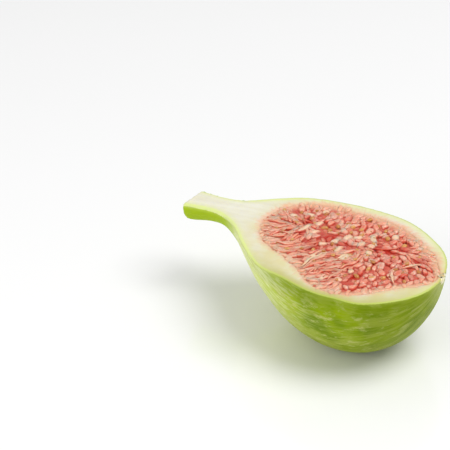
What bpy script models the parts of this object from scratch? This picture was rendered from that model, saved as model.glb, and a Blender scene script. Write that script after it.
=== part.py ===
"""Half of a green fig, cut lengthwise and lying on its back.

Metres, +Z up. The fig is laid out with its eye at x = 0 and its stem towards -X, its cut
face level at z = 0, and is moved at the end so that the origin is the middle of its
underside. Two solids: the fruit wall, which grew in one piece with the stem, and the pulp
that fills it.
"""

import math
import random

import bmesh
import bpy
import numpy as np
from mathutils import Matrix, Vector

MM = 0.001

# Sections of the fruit, from the eye to beyond the end of the stem, in millimetres:
# place along the fig, half width on the cut face, depth under it, sideways lean
FRUIT_SECTIONS = (
    (0.0, 0.0, 0.0, -3.9),
    (-2.0, 9.2, 10.0, -3.7),
    (-8.0, 16.6, 19.2, -3.3),
    (-17.0, 22.4, 25.0, -2.3),
    (-28.0, 24.1, 26.2, -1.0),
    (-39.0, 22.3, 23.6, 1.5),
    (-48.0, 19.0, 17.4, 3.7),
    (-55.0, 13.5, 12.2, 6.1),
    (-61.0, 7.9, 8.4, 8.6),
    (-66.0, 5.1, 5.8, 10.1),
    (-71.0, 4.3, 5.6, 11.0),
    (-77.0, 4.8, 6.6, 11.6),
    (-82.0, 4.9, 6.6, 12.1),
)

# Sections of the hollow in the wall, in the same order
HOLLOW_SECTIONS = (
    (-1.4, 0.0, 0.0, -4.6),
    (-4.7, 7.2, 9.5, -3.1),
    (-9.5, 11.2, 15.6, -2.0),
    (-15.5, 16.4, 20.4, -1.7),
    (-23.0, 20.1, 22.2, -1.7),
    (-31.0, 19.4, 21.6, 0.3),
    (-39.0, 16.1, 18.4, 4.8),
    (-46.0, 13.0, 13.4, 6.5),
    (-51.5, 8.6, 8.6, 6.9),
    (-54.2, 0.0, 0.0, 6.6),
)

# How finely the turned bodies are faceted, and how near two points are before they merge
SEGMENTS = 40
SAMPLES_PER_SECTION = 3
MERGE_DISTANCE = 0.01 * MM

# How far the cutting boxes reach past the fig
CUTTER_REACH = 100.0 * MM

# The stem was cut aslant: the middle of its end, and the way that the end faces
STEM_END = Vector((-77.9, 11.6, 0.0)) * MM
STEM_END_FACING = Vector((-1.0, 0.22, -0.05))

# Depth of fruit pressed flat where it lies
FLAT_DEPTH = 0.9 * MM

# Bracts that close the eye: a rosette on the lower half of the blossom end
BRACT_COUNT = 5
BRACT_RING_RADIUS = 1.7 * MM
BRACT_HALF_SIZES = Vector((0.55, 0.75, 1.3)) * MM

# Pulp: a core with small fruits standing out of it
PULP_GAP = 0.3 * MM
CORE_GAP = 0.6 * MM
CORE_SINK = 0.9 * MM
GRAIN_SPACING = 2.45 * MM
GRAIN_HALF_LENGTH = (1.7 * MM, 2.3 * MM)
GRAIN_HALF_WIDTH = (1.15 * MM, 1.45 * MM)
GRAIN_TOP = (-0.3 * MM, 0.5 * MM)
GRAIN_TURN = 0.5
GRAIN_TILT = 0.25
GRAIN_SIDES = 6
GRAIN_RINGS = 4
GRAIN_EDGE_ROOM = 0.6 * MM
GRAIN_TRIES = 9000
GRAIN_SEED = 7

# The collapsed middle of the fig, which the small fruits point at and leave open
SEAM_START = Vector((-46.0, 8.0, 0.0)) * MM
SEAM_END = Vector((-7.0, -1.0, 0.0)) * MM
CRACK_START = Vector((-25.0, 4.6, 0.0)) * MM
CRACK_END = Vector((-15.0, 4.4, 0.0)) * MM
CRACK_HALF_WIDTH = 1.0 * MM

# Colours and gloss of the skin and the pulp
SKIN_COLOUR, SKIN_ROUGHNESS = (0.36, 0.46, 0.03), 0.4
PULP_COLOUR, PULP_ROUGHNESS = (0.62, 0.16, 0.11), 0.3


def clear_scene():
    for thing in list(bpy.data.objects):
        bpy.data.objects.remove(thing, do_unlink=True)


def new_collection(name):
    collection = bpy.data.collections.new(name)
    bpy.context.scene.collection.children.link(collection)
    return collection


def new_material(name, colour, roughness):
    material = bpy.data.materials.new(name)
    material.use_nodes = True
    shader = material.node_tree.nodes["Principled BSDF"]
    shader.inputs["Base Color"].default_value = (*colour, 1.0)
    shader.inputs["Roughness"].default_value = roughness
    shader.inputs["Metallic"].default_value = 0.0
    return material


def link(name, mesh, collection):
    thing = bpy.data.objects.new(name, mesh)
    collection.objects.link(thing)
    return thing


def hide_cutter(thing):
    thing.hide_render = True
    thing.display_type = "WIRE"
    return thing


def bake_modifiers(thing):
    """Replace an object's mesh by what its modifiers make of it."""
    bpy.context.view_layer.update()
    evaluated = thing.evaluated_get(bpy.context.evaluated_depsgraph_get())
    mesh = bpy.data.meshes.new_from_object(evaluated)
    thing.modifiers.clear()
    thing.data = mesh


def smooth_sections(sections):
    """Points on a smooth curve through the sections, closed round at a pole."""
    rows = np.array(sections) * MM
    mirror = np.array((1.0, -1.0, -1.0, 1.0))
    before = rows[1] * mirror
    closed_end = rows[-1][1] == 0.0
    after = rows[-2] * mirror if closed_end else 2.0 * rows[-1] - rows[-2]
    knots = np.vstack((before, rows, after))
    samples = []
    for start in range(1, len(knots) - 2):
        a, b, c, d = knots[start - 1:start + 3]
        for step in range(SAMPLES_PER_SECTION):
            t = step / SAMPLES_PER_SECTION
            samples.append(0.5 * (2.0 * b + (c - a) * t
                                  + (2.0 * a - 5.0 * b + 4.0 * c - d) * t ** 2
                                  + (3.0 * b - a - 3.0 * c + d) * t ** 3))
    samples.append(rows[-1])
    return np.array(samples)


def radius_and_drop(half_width, depth):
    """The circle through both rims of the cut face and the lowest point under it."""
    if depth <= 0.0:
        return 0.0, 0.0
    radius = (half_width ** 2 + depth ** 2) / (2.0 * depth)
    return radius, depth - radius


def turned_body(name, sections, collection, inset=0.0):
    """A body turned round the fig's axis and then bent to its lean, as one closed mesh."""
    samples = smooth_sections(sections)
    circles = np.array([radius_and_drop(row[1], row[2]) for row in samples])
    along, radii, drops, leans = samples[:, 0], circles[:, 0], circles[:, 1], samples[:, 3]
    profile = np.column_stack((radii, along))
    if inset:
        tangent = np.gradient(profile, axis=0)
        tangent /= np.linalg.norm(tangent, axis=1)[:, None]
        inward = np.column_stack((tangent[:, 1], -tangent[:, 0]))
        profile = profile + inset * inward
        profile[[0, -1], 0] = 0.0
    elif radii[-1] > 0.0:
        profile = np.vstack((profile, (0.0, along[-1])))

    mesh = bpy.data.meshes.new(name)
    points = [(radius, 0.0, height) for radius, height in profile]
    edges = [(index, index + 1) for index in range(len(points) - 1)]
    mesh.from_pydata(points, edges, [])
    body = link(name, mesh, collection)
    screw = body.modifiers.new("turn", "SCREW")
    screw.axis = "Z"
    screw.steps = SEGMENTS
    screw.render_steps = SEGMENTS
    screw.use_merge_vertices = True
    screw.merge_threshold = MERGE_DISTANCE
    bake_modifiers(body)

    for vertex in body.data.vertices:
        across, up, place = vertex.co
        lean = np.interp(-place, -along, leans)
        drop = np.interp(-place, -along, drops)
        vertex.co = (place, across + lean, up - drop)
    return body


def box_cutter(name, low, high, collection):
    low, high = Vector(low), Vector(high)
    mesh = bpy.data.meshes.new(name)
    shape = bmesh.new()
    bmesh.ops.create_cube(shape, size=1.0, matrix=Matrix.Diagonal((*(high - low), 1.0)))
    bmesh.ops.translate(shape, verts=shape.verts, vec=(low + high) / 2.0)
    shape.to_mesh(mesh)
    shape.free()
    return hide_cutter(link(name, mesh, collection))


def boolean(target, cutter, operation="DIFFERENCE"):
    modifier = target.modifiers.new(cutter.name, "BOOLEAN")
    modifier.operation = operation
    modifier.object = cutter


def union_all(target, pieces):
    """Fuse every piece of a collection into the target, then remove the collection."""
    modifier = target.modifiers.new("fuse", "BOOLEAN")
    modifier.operation = "UNION"
    modifier.operand_type = "COLLECTION"
    modifier.collection = pieces
    bake_modifiers(target)
    for piece in list(pieces.objects):
        bpy.data.objects.remove(piece, do_unlink=True)
    bpy.data.collections.remove(pieces)


def drop_scraps(thing):
    """Keep only the largest connected body of a mesh."""
    shape = bmesh.new()
    shape.from_mesh(thing.data)
    unseen = set(shape.verts)
    bodies = []
    while unseen:
        body, front = set(), [unseen.pop()]
        while front:
            vertex = front.pop()
            body.add(vertex)
            found = {edge.other_vert(vertex) for edge in vertex.link_edges} & unseen
            unseen -= found
            front.extend(found)
        bodies.append(body)
    bodies.sort(key=len)
    scraps = [vertex for body in bodies[:-1] for vertex in body]
    bmesh.ops.delete(shape, geom=scraps, context="VERTS")
    shape.to_mesh(thing.data)
    shape.free()


def rounded_grain(name, half_sizes, matrix, sides, rings, collection):
    """A small ellipsoid whose long axis is its own Z."""
    mesh = bpy.data.meshes.new(name)
    shape = bmesh.new()
    bmesh.ops.create_uvsphere(shape, u_segments=sides, v_segments=rings, radius=1.0)
    bmesh.ops.transform(shape, verts=shape.verts,
                        matrix=matrix @ Matrix.Diagonal((*half_sizes, 1.0)))
    shape.to_mesh(mesh)
    shape.free()
    return link(name, mesh, collection)


def add_eye_bracts(wall):
    """Small scales round the eye, sunk into the wall and fused with it."""
    bracts = new_collection("bracts")
    centre = Vector((FRUIT_SECTIONS[0][0], FRUIT_SECTIONS[0][3], 0.0)) * MM
    for index in range(BRACT_COUNT):
        angle = math.pi * (index + 0.5) / BRACT_COUNT
        outward = Vector((0.0, math.cos(angle), -math.sin(angle)))
        place = centre + outward * BRACT_RING_RADIUS
        turn = outward.to_track_quat("Z", "X").to_matrix().to_4x4()
        rounded_grain(f"bract_{index}", BRACT_HALF_SIZES, Matrix.Translation(place) @ turn,
                      GRAIN_SIDES, GRAIN_RINGS, bracts)
    union_all(wall, bracts)


def make_wall(parts, cutters):
    """The skin, the white flesh and the stem, grown as one, with the hollow cut open."""
    wall = turned_body("fruit_wall", FRUIT_SECTIONS, parts)
    add_eye_bracts(wall)
    reach = CUTTER_REACH
    boolean(wall, turned_hollow(cutters))
    boolean(wall, box_cutter("above_cut", (-reach, -reach, 0.0), (reach, reach, reach), cutters))
    depth = max(section[2] for section in FRUIT_SECTIONS) * MM
    boolean(wall, box_cutter("under_flat", (-reach, -reach, -reach),
                             (reach, reach, FLAT_DEPTH - depth), cutters))
    stem = box_cutter("beyond_stem", (-reach, -reach, 0.0), (reach, reach, reach), cutters)
    stem.location = STEM_END
    stem.rotation_mode = "QUATERNION"
    stem.rotation_quaternion = STEM_END_FACING.to_track_quat("Z", "Y")
    boolean(wall, stem)
    wall.data.materials.append(new_material("lime_skin", SKIN_COLOUR, SKIN_ROUGHNESS))
    return wall


def turned_hollow(cutters):
    return hide_cutter(turned_body("hollow", HOLLOW_SECTIONS, cutters))


def distance_to_segment(point, start, end):
    along = end - start
    share = max(0.0, min(1.0, (point - start).dot(along) / along.length_squared))
    nearest = start + along * share
    return (point - nearest).length, nearest


def pulp_edge(samples, x):
    """The sideways limits of the pulp on the cut face at a place along the fig."""
    half_width = np.interp(-x, -samples[:, 0], samples[:, 1])
    lean = np.interp(-x, -samples[:, 0], samples[:, 3])
    return lean - half_width, lean + half_width


def grain_places(rng):
    """Places for the small fruits: random, but never closer than the spacing."""
    samples = smooth_sections(HOLLOW_SECTIONS)
    first, last = samples[-1, 0], samples[0, 0]
    width = max(section[1] for section in HOLLOW_SECTIONS) * MM + abs(samples[:, 3]).max()
    places = []
    for _ in range(GRAIN_TRIES):
        place = Vector((rng.uniform(first, last), rng.uniform(-width, width), 0.0))
        near, far = pulp_edge(samples, place.x)
        inside = near + GRAIN_EDGE_ROOM < place.y < far - GRAIN_EDGE_ROOM
        open_crack = distance_to_segment(place, CRACK_START, CRACK_END)[0] < CRACK_HALF_WIDTH
        if inside and not open_crack:
            if all((place - other).length > GRAIN_SPACING for other in places):
                places.append(place)
    return places


def make_pulp(parts, cutters):
    """The mass of small fruits that fills the hollow, bumpy where it was cut."""
    rng = random.Random(GRAIN_SEED)
    envelope = hide_cutter(turned_body("pulp_limit", HOLLOW_SECTIONS, cutters, PULP_GAP))
    pulp = turned_body("pulp", HOLLOW_SECTIONS, parts, CORE_GAP)
    reach = CUTTER_REACH
    boolean(pulp, box_cutter("above_core", (-reach, -reach, -CORE_SINK),
                             (reach, reach, reach), cutters))
    bake_modifiers(pulp)

    grains = new_collection("grains")
    for index, place in enumerate(grain_places(rng)):
        half_length = rng.uniform(*GRAIN_HALF_LENGTH)
        half_width = rng.uniform(*GRAIN_HALF_WIDTH)
        distance, middle = distance_to_segment(place, SEAM_START, SEAM_END)
        heading = middle - place if distance > GRAIN_SPACING else SEAM_END - SEAM_START
        heading.normalize()
        heading.rotate(Matrix.Rotation(rng.uniform(-GRAIN_TURN, GRAIN_TURN), 3, "Z"))
        heading.z = rng.uniform(-GRAIN_TILT, GRAIN_TILT)
        place.z = rng.uniform(*GRAIN_TOP) - half_width
        turn = heading.to_track_quat("Z", "Y").to_matrix().to_4x4()
        rounded_grain(f"grain_{index}", (half_width, half_width, half_length),
                      Matrix.Translation(place) @ turn, GRAIN_SIDES, GRAIN_RINGS, grains)
    union_all(pulp, grains)
    boolean(pulp, envelope, "INTERSECT")
    bake_modifiers(pulp)
    drop_scraps(pulp)
    pulp.data.materials.append(new_material("salmon_pulp", PULP_COLOUR, PULP_ROUGHNESS))
    return pulp


def stand_on_origin(pieces):
    """Move the pieces so that the origin is the middle of their underside."""
    bpy.context.view_layer.update()
    depsgraph = bpy.context.evaluated_depsgraph_get()
    corners = np.array([thing.matrix_world @ vertex.co for thing in pieces
                        for vertex in thing.evaluated_get(depsgraph).data.vertices])
    low, high = corners.min(axis=0), corners.max(axis=0)
    middle = Vector(((low[0] + high[0]) / 2.0, (low[1] + high[1]) / 2.0, low[2]))
    for thing in pieces:
        bake_modifiers(thing)
        thing.location -= middle


def main():
    clear_scene()
    parts = new_collection("fig_half")
    cutters = new_collection("cutters")
    wall = make_wall(parts, cutters)
    pulp = make_pulp(parts, cutters)
    stand_on_origin([wall, pulp])


main()
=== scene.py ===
import math
import random

import bpy
import numpy as np
from mathutils import Matrix, Vector, noise
from mathutils.bvhtree import BVHTree


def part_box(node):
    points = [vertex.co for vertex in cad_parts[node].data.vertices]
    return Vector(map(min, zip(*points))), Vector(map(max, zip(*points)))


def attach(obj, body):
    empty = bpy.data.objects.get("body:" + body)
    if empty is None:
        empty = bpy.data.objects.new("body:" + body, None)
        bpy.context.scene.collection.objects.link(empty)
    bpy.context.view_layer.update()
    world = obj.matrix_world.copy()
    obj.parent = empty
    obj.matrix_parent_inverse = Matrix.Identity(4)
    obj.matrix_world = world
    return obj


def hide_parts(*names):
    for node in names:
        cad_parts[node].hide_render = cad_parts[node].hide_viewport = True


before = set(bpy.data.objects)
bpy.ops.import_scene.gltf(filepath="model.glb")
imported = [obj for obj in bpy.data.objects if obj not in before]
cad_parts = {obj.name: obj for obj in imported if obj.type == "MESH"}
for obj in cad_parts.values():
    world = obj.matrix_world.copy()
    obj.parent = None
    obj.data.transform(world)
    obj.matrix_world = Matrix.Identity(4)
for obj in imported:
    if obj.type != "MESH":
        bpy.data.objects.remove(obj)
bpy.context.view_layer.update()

# The wall of the fig: a thin lime green skin over creamy white flesh, drawn out into a short
# curved stem, all grown as one body. A knife cut it lengthwise, so the skin shows as a thin
# bright line round a flat, moist face, and the hollow for the pulp lies open in that face.
MM = 0.001
FIG_PLACE = Vector((39.09, 0.867, 25.3)) * MM
FRUIT_SECTIONS = (
    (0.0, 0.0, 0.0, -3.9),
    (-2.0, 9.2, 10.0, -3.7),
    (-8.0, 16.6, 19.2, -3.3),
    (-17.0, 22.4, 25.0, -2.3),
    (-28.0, 24.1, 26.2, -1.0),
    (-39.0, 22.3, 23.6, 1.5),
    (-48.0, 19.0, 17.4, 3.7),
    (-55.0, 13.5, 12.2, 6.1),
    (-61.0, 7.9, 8.4, 8.6),
    (-66.0, 5.1, 5.8, 10.1),
    (-71.0, 4.3, 5.6, 11.0),
    (-77.0, 4.8, 6.6, 11.6),
    (-82.0, 4.9, 6.6, 12.1),
)
HOLLOW_SECTIONS = (
    (-1.4, 0.0, 0.0, -4.6),
    (-4.7, 7.2, 9.5, -3.1),
    (-9.5, 11.2, 15.6, -2.0),
    (-15.5, 16.4, 20.4, -1.7),
    (-23.0, 20.1, 22.2, -1.7),
    (-31.0, 19.4, 21.6, 0.3),
    (-39.0, 16.1, 18.4, 4.8),
    (-46.0, 13.0, 13.4, 6.5),
    (-51.5, 8.6, 8.6, 6.9),
    (-54.2, 0.0, 0.0, 6.6),
)
SAMPLES_PER_SECTION = 12
CUT_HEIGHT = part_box("fruit_wall")[1].z
STEM_END = FIG_PLACE + Vector((-77.9, 11.6, 0.0)) * MM
STEM_END_FACING = Vector((-1.0, 0.22, -0.05))
WALL_GRID = (144, 200)
HOLLOW_GRID = (112, 120)
WALL_VOXEL = 0.42 * MM
RIDGE_DEPTH = 0.07 * MM
DENT_DEPTH = 0.12 * MM
SKIN_SHRINK = 0.12 * MM
FLESH_SHRINK = 0.1 * MM
FLESH_GRAIN = 0.1 * MM
FLESH_WAVES = 0.12 * MM
RIM_ROUNDING = 0.08 * MM
STEM_ROUNDING = 0.5 * MM
PULP_LIP = 0.2 * MM
DRAWN_IN = 1.5 * MM
DRAWN_IN_START, DRAWN_IN_FULL = -47.0 * MM, -38.0 * MM
DRAWN_IN_FADING, DRAWN_IN_END = -24.0 * MM, -15.0 * MM
DRAWN_IN_HEIGHT = 6.0 * MM
DRAWN_IN_DEPTH = 5.0 * MM


def smooth_sections(sections):
    """Points on a smooth curve through the sections, closed round at a pole."""
    rows = np.array(sections) * MM
    mirror = np.array((1.0, -1.0, -1.0, 1.0))
    after = rows[-2] * mirror if rows[-1][1] == 0.0 else 2.0 * rows[-1] - rows[-2]
    knots = np.vstack((rows[1] * mirror, rows, after))
    samples = []
    for start in range(1, len(knots) - 2):
        a, b, c, d = knots[start - 1:start + 3]
        for step in range(SAMPLES_PER_SECTION):
            t = step / SAMPLES_PER_SECTION
            samples.append(0.5 * (2.0 * b + (c - a) * t
                                  + (2.0 * a - 5.0 * b + 4.0 * c - d) * t ** 2
                                  + (3.0 * b - a - 3.0 * c + d) * t ** 3))
    samples.append(rows[-1])
    return np.array(samples)


def centre_and_radius(samples):
    """Each section's circle: its radius, and how far its centre lies under the cut face."""
    half_width, depth = samples[:, 1], np.maximum(samples[:, 2], 1e-9)
    radius = np.where(samples[:, 2] > 0.0, (half_width ** 2 + depth ** 2) / (2.0 * depth), 0.0)
    return radius, np.where(samples[:, 2] > 0.0, depth - radius, 0.0)


def mesh_points(thing):
    points = np.empty(len(thing.data.vertices) * 3, np.float32)
    thing.data.vertices.foreach_get("co", points)
    return points.reshape(-1, 3).astype(float)


def set_mesh_points(thing, points):
    thing.data.vertices.foreach_set("co", np.asarray(points, np.float32).ravel())
    thing.data.update()


def turned_fig_body(name, sections, segments, rings, inset=0.0):
    """A ball shaped ring by ring to the sections, with its poles at the eye and the stem."""
    bpy.ops.object.select_all(action="DESELECT")
    bpy.ops.mesh.primitive_uv_sphere_add(segments=segments, ring_count=rings, radius=1.0)
    body = bpy.context.object
    body.name = body.data.name = name
    samples = smooth_sections(sections)
    radius, drop = centre_and_radius(samples)
    profile = np.column_stack((radius, samples[:, 0]))
    if radius[-1] > 0.0:
        profile = np.vstack((profile, (0.0, samples[-1, 0])))
    if inset:
        tangent = np.gradient(profile, axis=0)
        tangent /= np.linalg.norm(tangent, axis=1)[:, None]
        profile = profile + inset * np.column_stack((tangent[:, 1], -tangent[:, 0]))
        profile[[0, -1], 0] = 0.0
    walk = np.concatenate(((0.0,), np.cumsum(np.linalg.norm(np.diff(profile, axis=0), axis=1))))
    ball = mesh_points(body)
    polar = np.arccos(np.clip(ball[:, 2], -1.0, 1.0))
    rim = np.maximum(np.sin(polar), 1e-9)
    share = polar / math.pi * walk[-1]
    reach = np.interp(share, walk, profile[:, 0])
    place = np.interp(share, walk, profile[:, 1])
    reach[(polar < 1e-4) | (polar > math.pi - 1e-4)] = 0.0
    lean = np.interp(-place, -samples[:, 0], samples[:, 3])
    sink = np.interp(-place, -samples[:, 0], drop)
    shaped = np.column_stack((place, ball[:, 0] / rim * reach + lean,
                              ball[:, 1] / rim * reach - sink))
    set_mesh_points(body, shaped + np.array(FIG_PLACE))
    return body


def surface_tree(thing):
    mesh = thing.data
    return BVHTree.FromPolygons([v.co for v in mesh.vertices], [p.vertices for p in mesh.polygons])


def distances(tree, points):
    return np.array([tree.find_nearest(Vector(point))[3] for point in points])


def bisect_body(body, place, facing):
    """Cut a body with a plane, drop what lies on the side it faces, and close the cut."""
    bpy.ops.object.select_all(action="DESELECT")
    bpy.context.view_layer.objects.active = body
    body.select_set(True)
    bpy.ops.object.mode_set(mode="EDIT")
    bpy.ops.mesh.select_all(action="SELECT")
    bpy.ops.mesh.bisect(plane_co=place, plane_no=facing, use_fill=True, clear_outer=True)
    bpy.ops.object.mode_set(mode="OBJECT")


def apply_modifier(body, kind, **settings):
    """Add one modifier with its settings and apply it."""
    bpy.context.view_layer.objects.active = body
    modifier = body.modifiers.new(kind.lower(), kind)
    for name, value in settings.items():
        setattr(modifier, name, value)
    bpy.ops.object.modifier_apply(modifier=modifier.name)


def remove_thing(thing):
    bpy.data.objects.remove(thing, do_unlink=True)


def keep_number(thing, name, values):
    """Store one number for each vertex, for the materials to read."""
    attribute = thing.data.attributes.new(name, "FLOAT", "POINT")
    attribute.data.foreach_set("value", np.asarray(values, np.float32))


def keep_vector(thing, name, values):
    attribute = thing.data.attributes.new(name, "FLOAT_VECTOR", "POINT")
    attribute.data.foreach_set("vector", np.asarray(values, np.float32).ravel())


def smoothstep(low, high, value):
    share = np.clip((value - low) / (high - low), 0.0, 1.0)
    return share * share * (3.0 - 2.0 * share)


def noise_at(points, scale, seed=0.0):
    """Smooth noise from -1 to 1 at each point, with features about 1 / scale apart."""
    shift = Vector((seed, 2.3 * seed, -1.7 * seed))
    return np.array([noise.noise(Vector(point) * scale + shift) for point in points])


def section_frame(points):
    """For each point, the angle round the fig's axis and the place along it."""
    samples = smooth_sections(FRUIT_SECTIONS)
    drop = centre_and_radius(samples)[1]
    local = points - np.array(FIG_PLACE)
    lean = np.interp(-local[:, 0], -samples[:, 0], samples[:, 3])
    sink = np.interp(-local[:, 0], -samples[:, 0], drop)
    return np.arctan2(local[:, 2] + sink, local[:, 1] - lean), local[:, 0]


whole_fig = turned_fig_body("whole_fig", FRUIT_SECTIONS, *WALL_GRID)
hollow = turned_fig_body("hollow", HOLLOW_SECTIONS, *HOLLOW_GRID)
skin_tree, hollow_tree = surface_tree(whole_fig), surface_tree(hollow)
cut_plane = Vector((0.0, 0.0, CUT_HEIGHT))
bisect_body(whole_fig, cut_plane, Vector((0.0, 0.0, 1.0)))
bisect_body(whole_fig, STEM_END, STEM_END_FACING)
bisect_body(whole_fig, Vector((0.0, 0.0, 0.0)), Vector((0.0, 0.0, -1.0)))
apply_modifier(whole_fig, "BOOLEAN", operation="DIFFERENCE", object=hollow)
fig_wall = whole_fig.copy()
fig_wall.data = whole_fig.data.copy()
fig_wall.name = fig_wall.data.name = "fig_wall"
bpy.context.scene.collection.objects.link(fig_wall)
apply_modifier(fig_wall, "REMESH", mode="VOXEL", voxel_size=WALL_VOXEL, use_smooth_shade=True)
apply_modifier(fig_wall, "SHRINKWRAP", wrap_method="NEAREST_SURFACEPOINT", target=whole_fig)
apply_modifier(fig_wall, "SMOOTH", factor=0.4, iterations=2)
remove_thing(hollow)
remove_thing(whole_fig)

wall_points = mesh_points(fig_wall)
under_skin = distances(skin_tree, wall_points)
off_pulp = distances(hollow_tree, wall_points)
angle, along = section_frame(wall_points)
on_cut = smoothstep(CUT_HEIGHT - 0.45 * MM, CUT_HEIGHT - 0.2 * MM, wall_points[:, 2])
on_skin = 1.0 - smoothstep(0.15 * MM, 0.5 * MM, under_skin)

# Faint lengthwise ridges in the skin, and flesh that shrank a little from the knife's plane
round_fig = np.column_stack((along * 18.0, np.cos(angle) * 6.0, np.sin(angle) * 6.0))
ridges = noise_at(round_fig, 1.0, 3.0) + 0.5 * noise_at(round_fig, 2.3, 8.0)
dents = noise_at(wall_points, 70.0, 5.0)
skin_sink = (RIDGE_DEPTH * ridges + DENT_DEPTH * dents - SKIN_SHRINK) * on_skin * (1.0 - on_cut)
grain, waves = noise_at(wall_points, 420.0, 2.0), noise_at(wall_points, 140.0, 4.0)
flesh_dip = FLESH_SHRINK + FLESH_GRAIN * grain + FLESH_WAVES * waves
flesh_dip = flesh_dip * on_cut * smoothstep(0.3 * MM, 1.2 * MM, under_skin)
in_stem = smoothstep(-58.0 * MM, -66.0 * MM, along)
at_rim = on_cut * (1.0 - smoothstep(0.0, 1.3 * MM, under_skin)) ** 2
rim_round = (RIM_ROUNDING + STEM_ROUNDING * in_stem) * at_rim
pulp_lip = PULP_LIP * on_cut * (1.0 - smoothstep(0.0, 1.1 * MM, off_pulp))
normals = np.empty(len(wall_points) * 3, np.float32)
fig_wall.data.vertex_normals.foreach_get("vector", normals)
clear_of_floor = smoothstep(0.05 * MM, 1.0 * MM, wall_points[:, 2])
wall_points += normals.reshape(-1, 3) * (skin_sink * clear_of_floor)[:, None]

# On its near side, towards the stem, the cut edge has dried and drawn in a little
drawn_in = smoothstep(DRAWN_IN_START, DRAWN_IN_FULL, along)
drawn_in *= 1.0 - smoothstep(DRAWN_IN_FADING, DRAWN_IN_END, along)
drawn_in *= smoothstep(0.3, 0.9, -np.cos(angle))
drawn_in *= smoothstep(CUT_HEIGHT - DRAWN_IN_HEIGHT, CUT_HEIGHT, wall_points[:, 2])
drawn_in *= 1.0 - smoothstep(0.5 * MM, DRAWN_IN_DEPTH, under_skin)
wall_points[:, 1] += DRAWN_IN * drawn_in
wall_points[:, 2] = np.maximum(wall_points[:, 2] - flesh_dip - pulp_lip - rim_round, 0.0)
set_mesh_points(fig_wall, wall_points)
keep_number(fig_wall, "under_skin", under_skin / MM)
keep_number(fig_wall, "off_pulp", off_pulp / MM)
keep_number(fig_wall, "cut_face", on_cut)
keep_vector(fig_wall, "round_fig", np.column_stack((along / MM, np.cos(angle), np.sin(angle))))
pulp_middle = FIG_PLACE + Vector((-29.0, 2.0, 0.0)) * MM
around = np.arctan2(wall_points[:, 1] - pulp_middle.y, wall_points[:, 0] - pulp_middle.x)
keep_vector(fig_wall, "round_pulp", np.column_stack((np.cos(around), np.sin(around), off_pulp / MM)))
eye = FIG_PLACE + Vector((0.0, FRUIT_SECTIONS[0][3], 0.0)) * MM
keep_number(fig_wall, "off_eye", np.linalg.norm(wall_points - np.array(eye), axis=1) / MM)
bpy.ops.object.select_all(action="DESELECT")
fig_wall.select_set(True)
bpy.ops.object.shade_smooth()


class Value:
    """A number in a material that adds its own Math nodes when it is used in a sum."""

    def __init__(self, finish, socket):
        self.finish, self.socket = finish, socket

    def math(self, operation, first, second):
        return self.finish.node("ShaderNodeMath", {"operation": operation}, {0: first, 1: second})

    def __add__(self, other):
        return self.math("ADD", self, other)

    def __radd__(self, other):
        return self.math("ADD", other, self)

    def __sub__(self, other):
        return self.math("SUBTRACT", self, other)

    def __rsub__(self, other):
        return self.math("SUBTRACT", other, self)

    def __mul__(self, other):
        return self.math("MULTIPLY", self, other)

    def step(self, low, high):
        """0 below low and 1 above high, with a soft rise between them."""
        return self.finish.node("ShaderNodeMapRange", {"interpolation_type": "SMOOTHSTEP"},
                                {"Value": self, "From Min": low, "From Max": high})


class Finish:
    """A material with a Principled shader, built up node by node."""

    def __init__(self, name):
        self.material = bpy.data.materials.new(name)
        self.material.use_nodes = True
        self.tree = self.material.node_tree
        self.shader = self.tree.nodes["Principled BSDF"]

    def node(self, kind, settings, inputs, output=0):
        made = self.tree.nodes.new(kind)
        for name, value in settings.items():
            setattr(made, name, value)
        for name, value in inputs.items():
            self.join(made.inputs[name], value)
        return Value(self, made.outputs[output])

    def join(self, socket, value):
        if isinstance(value, Value):
            self.tree.links.new(value.socket, socket)
        else:
            socket.default_value = value

    def mix(self, factor, first, second):
        settings = {"data_type": "RGBA", "clamp_factor": True}
        return self.node("ShaderNodeMix", settings, {0: factor, 6: first, 7: second}, output=2)

    def number(self, name):
        """A number that the mesh keeps for each vertex."""
        return self.node("ShaderNodeAttribute", {"attribute_name": name}, {}, output="Fac")

    def vector(self, name):
        return self.node("ShaderNodeAttribute", {"attribute_name": name}, {}, output="Vector")

    def place(self):
        return self.node("ShaderNodeTexCoord", {}, {}, output="Object")

    def stretched(self, vector, scale):
        return self.node("ShaderNodeVectorMath", {"operation": "MULTIPLY"}, {0: vector, 1: scale})

    def noise(self, vector, scale, detail=3.0, roughness=0.5):
        return self.node("ShaderNodeTexNoise", {}, {"Vector": vector, "Scale": scale, "Detail": detail,
                                                    "Roughness": roughness})

    def set(self, **sockets):
        for name, value in sockets.items():
            self.join(self.shader.inputs[name.replace("_", " ")], value)

    def bump(self, height, distance, strength):
        normal = self.node("ShaderNodeBump", {}, {"Height": height, "Distance": distance,
                                                  "Strength": strength})
        self.set(Normal=normal)


def colour(red, green, blue):
    """A colour from its sRGB values out of 255."""
    def linear(value):
        value /= 255.0
        return value / 12.92 if value <= 0.04045 else ((value + 0.055) / 1.055) ** 2.4
    return (linear(red), linear(green), linear(blue), 1.0)


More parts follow.
